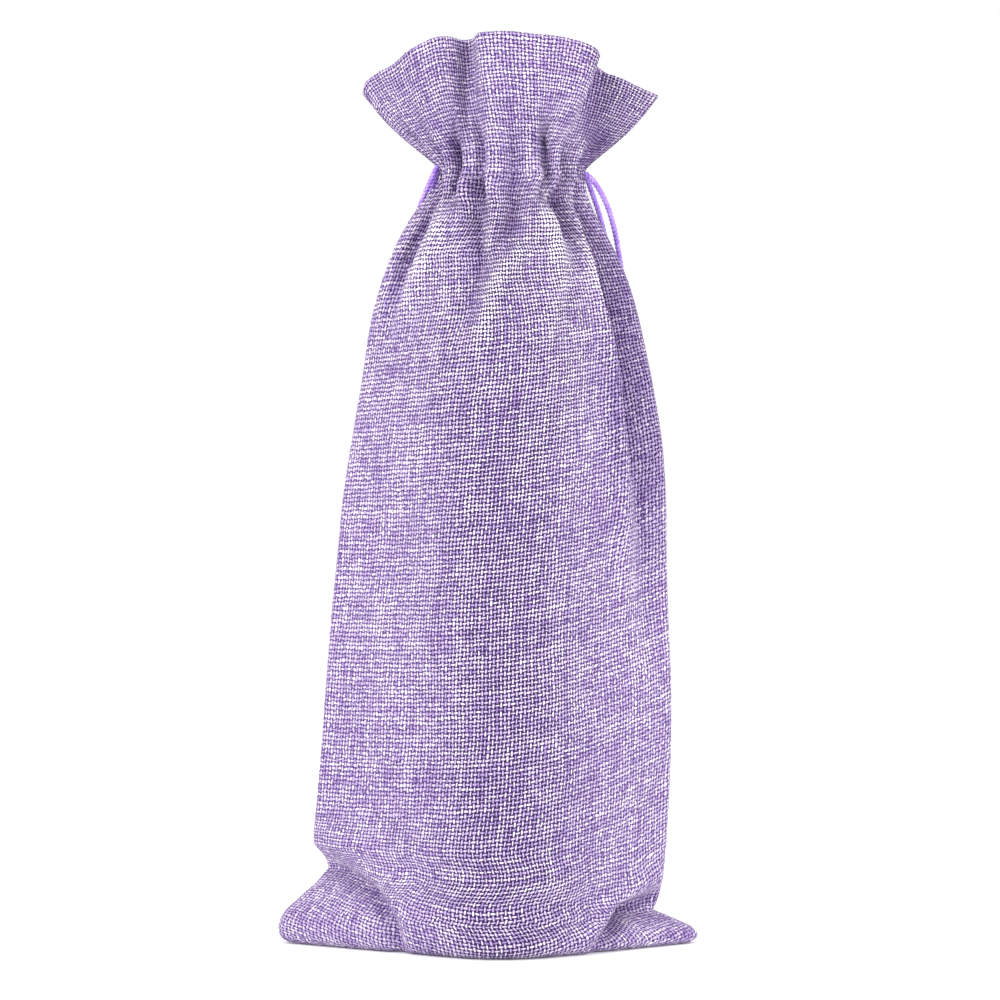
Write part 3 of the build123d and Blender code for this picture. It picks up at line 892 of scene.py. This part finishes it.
# Top edge of the frill in plan and height, left to right
FRONT_EDGE = [
    (-43.4, -0.7, 293.8), (-42.4, -2, 297.2), (-38.4, -6, 299.4), (-33, -11, 301.4), (-28, -15.6, 305),
    (-21.6, -19.6, 308), (-16.8, -20, 309.6), (-12.6, -15.6, 310.2), (-9.2, -11, 310.2),
    (-6.4, -11.4, 310.3), (-4.9, -15.4, 310.6), (-3.2, -20.6, 310.9), (4, -22.6, 311), (14, -23.6, 310),
    (23, -24.8, 308.8), (31, -26.2, 306.8), (36.2, -24.8, 304.4), (37.4, -19.5, 303), (33.6, -13, 302),
    (33.4, -6.4, 301.4), (38.4, -3.6, 300.4), (46, -4.6, 297.6), (58.3, -0.7, 292.6),
]
BACK_EDGE = [
    (-43.6, 0.7, 293.8), (-37.5, 7, 297.6), (-30, 14.5, 303), (-22, 20, 308), (-13, 21.5, 311.5),
    (-6.5, 16.5, 313), (-2.5, 12, 313.6), (1.5, 16.5, 314.2), (6, 22.5, 314.6), (13.5, 24.5, 314.8),
    (21.5, 22, 314), (25.5, 15.5, 312.8), (28.5, 13, 311.5), (31, 17, 310), (36, 19.5, 307),
    (43, 15, 301.8), (48, 9, 297.8), (53, 6.5, 295.2), (58.3, 0.7, 292.6),
]
FRONT_FRILL_CREASES = [
    ([(18.4, 266, -1), (17.8, 274, -5), (16.8, 280, -5.4), (15.6, 286, -3), (14, 291, -0.8),
      (13, 295, 0)], 4, 3),
    ([(-5.5, 284, 0.8), (2, 289.5, 2), (8.6, 290, 2.6), (13.4, 286, 2.4), (17, 278, 1)], 6.5, 2.2),
    ([(20.4, 270, 1), (22, 280, 1.6), (25, 292, 1.2), (28, 303, 0.2)], 2.6, 3.6),
    ([(25.6, 272, 0.8), (29.6, 283, 1.6), (34, 296, 1), (35.4, 303, 0.4)], 2.4, 3),
    ([(-11.5, 272, -0.6), (-18, 283, -2.2), (-26, 292, -1.6), (-32, 297, -0.5)], 3.5, 4.5),
    ([(-6.6, 264, -1), (-7.4, 274, -3.6), (-7.8, 290, -2.8), (-7, 308, -0.6)], 5, 1),
    ([(-12.5, 272, 0.4), (-16.4, 284, 1.8), (-19, 298, 1.2), (-19, 308, 0.2)], 3.4, 3),
]
BACK_FRILL_CREASES = [
    ([(0, 268, -1), (-1, 280, -2.2), (-2, 295, -1.4), (-2.5, 308, 0)], 2.5, 2.5),
    ([(22, 268, -1), (25, 282, -1.8), (27, 300, -0.8)], 2.5, 3),
]
FRILL_LENGTH = 41.0
CASING_LENGTH = CASING_TOP - CASING_BASE
HEADING_OUTER = CASING_LENGTH + FRILL_LENGTH
HEM_RADIUS = HEM_GAP / 2
FLARE_BEND = 4.0          # the frill starts to flare over about this length
FLARE_START = 10.0        # above the casing's lower edge, in the middle of a side
SIDE_FLARE_START = 4.0    # the same at the two sides
NECK_MIDDLE = np.array([8.2, 0.0])
CORD_RING = (17.9, 14.7)  # the outer layer stays outside an oval of these half widths, clear of the cords
CHANNEL_RING = 12.4       # the hem inside the casing lies within this distance of the neck's middle line


def soft_positive(value):
    """The value where it is well above 0, and 0 well below, with a bend between."""
    return ((value**2 + FLARE_BEND**2) ** 0.5 + value) / 2


def clear_of_cords(row):
    """Plan of a row of the casing, moved out where it would touch the cords' ring inside it."""
    from_middle = row[:, :2] - NECK_MIDDLE
    share = np.hypot(from_middle[:, 0] / CORD_RING[0], from_middle[:, 1] / CORD_RING[1])
    near = 1 - smooth_step(row[:, 2], CASING_TOP - 2, CASING_TOP + 2)
    return NECK_MIDDLE + from_middle * (1 + np.maximum(1 / share - 1, 0) * near)[:, None]


def heading_outer(sign, edge, folds, pleats, creases, cloth_v):
    """The outer layer of casing and frill on the cloth's grid, and how deep each point lies in a fold."""
    base_points, _ = half_ring(section_at(CASING_BASE))
    base_offset, _, _ = fold_offset(CASING_BASE, base_points, along(base_points), sign, *folds)
    base, _ = pleated(CASING_BASE, section_at(CASING_BASE), pleats, base_offset)
    throat, smooth = pleated(CASING_BASE, THROAT, pleats, 0.0 * base_offset)
    top = spline(edge)
    far = along(top)
    top = resample(top, far, CLOTH_C / CLOTH_WIDTH * far[-1])
    from_edge = np.minimum(CLOTH_C, CLOTH_WIDTH - CLOTH_C)
    start = FLARE_START - (FLARE_START - SIDE_FLARE_START) * (1 - smooth_step(from_edge, 6, 44))
    below = soft_positive(-start)
    reach = soft_positive(HEADING_OUTER - start) - below
    rows, depths = [], []
    for v in cloth_v:
        t = max(v - CASING_LENGTH, 0) / FRILL_LENGTH
        outward = soft_positive(v - start) - below
        flare = outward / reach
        bulge = flare + 0.10 * np.sin(pi * flare)
        pleat_share = (1 - t) ** 2.2
        plan = smooth + (throat - smooth) * pleat_share + (base - throat) * exp(-v / 2.2)
        plan = plan * [1, sign]
        plan = plan + (top[:, :2] - plan) * bulge[:, None]
        upright = (v - outward) * (1 - flare) + flare * (HEADING_OUTER - reach)
        z = CASING_BASE + upright + (top[:, 2] - CASING_BASE - (HEADING_OUTER - reach)) * flare
        row = np.column_stack([plan, z])
        height = crease_height(row[:, 0], row[:, 2], creases) * smooth_step(from_edge, 0, 6)
        ripple = 0.35 * np.sin(0.41 * CLOTH_C + 0.16 * v) + 0.25 * np.sin(0.23 * CLOTH_C - 0.21 * v + 2)
        row[:, 1] += sign * (height + ripple * min(t * 2, 1) * smooth_step(from_edge, 0, 6))
        row[:, :2] = clear_of_cords(row)
        slit = SLIT_HALF * float(smooth_step(v, 0, 2.5)) * (1 - t) + EDGE_GAP * t
        row[:, 1] = sign * np.maximum(sign * row[:, 1], slit)
        rows.append(row)
        depths.append(np.linalg.norm(throat - smooth, axis=1) * pleat_share - height)
    return np.array(rows), np.array(depths)


def add_heading(word, sign, edge, folds, pleats, creases, material):
    """Casing and frill: the cloth goes up, turns over at the top edge and comes down inside as a hem."""
    step = WEFT_PITCH / 2
    outer_count = int(round(HEADING_OUTER / step)) + 1
    heights = np.linspace(0, HEADING_OUTER, outer_count)
    outer, depths = heading_outer(sign, edge, folds, pleats, creases, heights)
    normal = grid_normals(outer, sign)
    rise = outer[-1] - outer[-2]
    rise /= np.linalg.norm(rise, axis=1)[:, None]
    roll = []
    for angle in (0.25 * pi, 0.5 * pi, 0.75 * pi):
        inward = HEM_RADIUS * (1 - cos(angle))
        roll.append(outer[-1] - normal[-1] * inward + rise * HEM_RADIUS * sin(angle))
    inner = (outer - normal * HEM_GAP)[::-1]
    below = smooth_step(-inner[:, :, 2], -CASING_TOP - 6, -CASING_TOP + 2)
    reach = inner[:, :, :2] - NECK_MIDDLE
    distance = np.hypot(reach[:, :, 0] / 1.3, reach[:, :, 1])
    shrink = np.minimum(1, CHANNEL_RING / np.maximum(distance, 1e-6))
    pulled = NECK_MIDDLE + reach * shrink[:, :, None]
    inner[:, :, :2] += (pulled - inner[:, :, :2]) * below[:, :, None]
    inner[:, :, 1] = sign * np.maximum(sign * inner[:, :, 1], 0.5)
    kept = inner[:, 0, 2] >= inner[-1, 0, 2] + 1.5
    inner = inner[kept]
    grid = np.concatenate([outer, np.array(roll), inner])
    fold = np.concatenate([depths, np.zeros((len(roll), COLUMNS)), -depths[::-1][kept]])
    cloth_v = np.arange(len(grid)) * step
    x, y, z = np.moveaxis(grid, 2, 0)
    wing = smooth_step(x, 32, 38) * smooth_step(z, 268, 276) * (sign == FRONT)
    edge_fold = 1 - smooth_step(np.minimum(CLOTH_C, CLOTH_WIDTH - CLOTH_C), 2, 7)[None, :]
    # Painted shadow: the front frill tucked behind the rolled edge on the right is drawn darker
    tucked = smooth_step(x, 31, 34) * (1 - smooth_step(x, 37, 45))
    tucked = tucked * smooth_step(y, -18, -12) * (sign == FRONT)
    open_map = np.clip(0.25 + 0.55 * wing - 0.5 * edge_fold, 0, 1)
    # The heading's gaps are painted near black, darkest on the right wing and beside the side folds, as
    # painted shade seen through the weave; the fold map paints shade in the pleats
    gap_map = np.clip(0.10 - 0.1 * wing - 0.05 * edge_fold, 0, 1)
    frill_fold_shade = np.clip(np.maximum(fold / 10.5 - 0.1, 0.7 * tucked), 0, 1)
    maps = (open_map, gap_map, frill_fold_shade)
    piece = cloth_piece(f"{word}_frill_cloth", grid, cloth_v, material, maps, sign)
    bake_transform(piece)
    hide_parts(f"{word}_casing", f"{word}_heading")
    return outer, normal


STITCH_PITCH = 3.1
STITCH_LENGTH = 2.3
STITCH_RADIUS = 0.18
STITCH_LIFT = 0.24


def add_stitching(word, outer, normal, material):
    """Two rows of running stitches that close the casing, following its pleats."""
    step = WEFT_PITCH / 2
    for place, height in (("lower", 0.9), ("upper", CASING_LENGTH - 0.7)):
        parts = []
        for start in np.arange(1.2, CLOTH_WIDTH - 3.2, STITCH_PITCH):
            line = []
            for c in np.linspace(start, start + STITCH_LENGTH, 7):
                bow = 1.1 * sin(pi * c / CLOTH_WIDTH) * (1 if place == "lower" else -0.2)
                row = (height + bow) / step
                column = c / CLOTH_WIDTH * (COLUMNS - 1)
                r, k = int(row), int(column)
                share_r, share_c = row - r, column - k
                point = (
                    outer[r, k] * (1 - share_r) * (1 - share_c) + outer[r + 1, k] * share_r * (1 - share_c)
                    + outer[r, k + 1] * (1 - share_r) * share_c + outer[r + 1, k + 1] * share_r * share_c
                )
                line.append(point + normal[r, k] * STITCH_LIFT)
            parts.append(tube(line, STITCH_RADIUS, sides=6, taper=2))
        piece = make_mesh(f"{word}_{place}_stitches", *join(parts), material)
        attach(piece, "bag")
        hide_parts(f"{word}_{place}_stitching")


# ---------------------------------------------------------------- inside

RIBBON_THICKNESS = 0.0008  # metres


def ribbon(name, first, second, cloth_v, material):
    """A narrow strip of cloth between two lines."""
    steps = 5
    grid = np.stack([first + (second - first) * k / (steps - 1) for k in range(steps)], 1)
    piece = make_mesh(name, grid, grid_faces(len(first), steps), material)
    count_yarns(piece.data, steps, SEAM_ALLOWANCE / (steps - 1) / WARP_PITCH, cloth_v)
    solid = piece.modifiers.new("thickness", "SOLIDIFY")
    solid.thickness = RIBBON_THICKNESS
    solid.offset = 0
    return piece


def add_seams(front_grid, material):
    """The seam allowances inside the sides and along the bottom."""
    rows = np.arange(12, len(front_grid), 4)
    v = rows * WEFT_PITCH / 2
    for word, column, inward in (("left", 0, 1), ("right", -1, -1)):
        edge = front_grid[rows, column] + np.array([inward * 1.6, 0, 0])
        inner = edge + np.array([inward * SEAM_ALLOWANCE, 0, 0])
        piece = ribbon(f"{word}_seam_allowance", edge, inner, v, material)
        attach(piece, "bag")
        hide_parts(f"{word}_side_seam")
    xs = np.linspace(-64, 64, 90)
    first = np.column_stack([xs, np.full(90, 0.2), np.full(90, 1.4)])
    second = first + np.array([0, SEAM_ALLOWANCE, 0.2])
    second[:, 1] = np.minimum(second[:, 1], 0.2 + 8 * smooth_step(66 - np.abs(xs), 0, 20))
    piece = ribbon("bottom_seam_allowance", first, second, xs + 64, material)
    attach(piece, "bag")
    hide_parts("bottom_seam")


LOOP_HALVES = (16.6, 13.4)
LOOP_POINTS = 60
LOOP_GAP = 0.16            # angle left open on each side of the exit
# Word, side, and the side and height of the exit
LOOP_EXITS = (("left", -1, -14.813, 270.5), ("right", 1, 31.213, 266.5))


def add_loops(material):
    """The part of each cord that runs round the neck inside the casing."""
    for word, side_x, exit_x, z in LOOP_EXITS:
        turn = np.linspace(LOOP_GAP, tau - LOOP_GAP, LOOP_POINTS)
        oval_x = NECK_MIDDLE[0] + side_x * LOOP_HALVES[0] * np.cos(turn)
        oval = np.column_stack([oval_x, -LOOP_HALVES[1] * np.sin(turn), np.full(LOOP_POINTS, z)])
        start = np.array([[exit_x, -1.4, z], [exit_x - side_x * 3, -1.6, z]])
        end = start[::-1] * np.array([1, -1, 1])
        loop = spline(np.vstack([start, oval, end]), 6)
        piece = make_mesh(f"{word}_cord_in_casing", *twisted(loop), material)
        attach(piece, "bag")
        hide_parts(f"{word}_drawstring_loop")


# ---------------------------------------------------------------- studio

FLOOR_SIZE = 6
LIGHT_TARGET = (0, 0, 0.15)
# Name, place, size and power of each light
LIGHTS = (
    ("key", (-0.95, -0.85, 0.68), 0.45, 12.0),
    ("fill", (1.0, -0.8, 0.5), 0.5, 9.5),
    ("top", (-0.1, -0.1, 1.3), 0.6, 4),
)


def add_light(name, place, size, power):
    """A square area light that looks at the bag."""
    data = bpy.data.lights.new(name, "AREA")
    data.size = size
    data.energy = power
    light = bpy.data.objects.new(name, data)
    light.location = place
    light.rotation_euler = (Vector(LIGHT_TARGET) - Vector(place)).to_track_quat("-Z", "Y").to_euler()
    bpy.context.scene.collection.objects.link(light)


def add_studio():
    """Pale floor, white surroundings and three lights."""
    bpy.ops.mesh.primitive_plane_add(size=FLOOR_SIZE)
    floor = bpy.context.active_object
    floor.name = "floor"
    floor.data.materials.append(floor_material())
    world = bpy.data.worlds.new("studio")
    world.use_nodes = True
    world.node_tree.nodes["Background"].inputs["Color"].default_value = (1, 1, 1, 1)
    world.node_tree.nodes["Background"].inputs["Strength"].default_value = 1.0
    bpy.context.scene.world = world
    for light in LIGHTS:
        add_light(*light)
    bpy.context.scene.view_settings.view_transform = "Standard"


# ---------------------------------------------------------------- the whole

add_camera()
violet = cord_material()
add_drawstring("left", -1, LEFT_FRONT_ROUTE, LEFT_BACK_ROUTE, violet)
add_drawstring("right", 1, RIGHT_FRONT_ROUTE, RIGHT_BACK_ROUTE, violet)
add_loops(violet)
lilac = weave_material("lilac_weave")
front_grid = add_panel("front", FRONT, FRONT_VALLEYS, FRONT_CREASES, FRONT_PLEATS, lilac)
add_panel("back", BACK, BACK_VALLEYS, BACK_CREASES, BACK_PLEATS, lilac)
add_seams(front_grid, lilac)
pale_thread = thread_material()
FRONT_FOLDS = (FRONT_VALLEYS, FRONT_CREASES)
BACK_FOLDS = (BACK_VALLEYS, BACK_CREASES)
for word, sign, edge, folds, pleats, creases in (
    ("front", FRONT, FRONT_EDGE, FRONT_FOLDS, FRONT_PLEATS, FRONT_FRILL_CREASES),
    ("back", BACK, BACK_EDGE, BACK_FOLDS, BACK_PLEATS, BACK_FRILL_CREASES),
):
    outer, normal = add_heading(word, sign, edge, folds, pleats, creases, lilac)
    add_stitching(word, outer, normal, pale_thread)
add_studio()

bpy.context.view_layer.update()
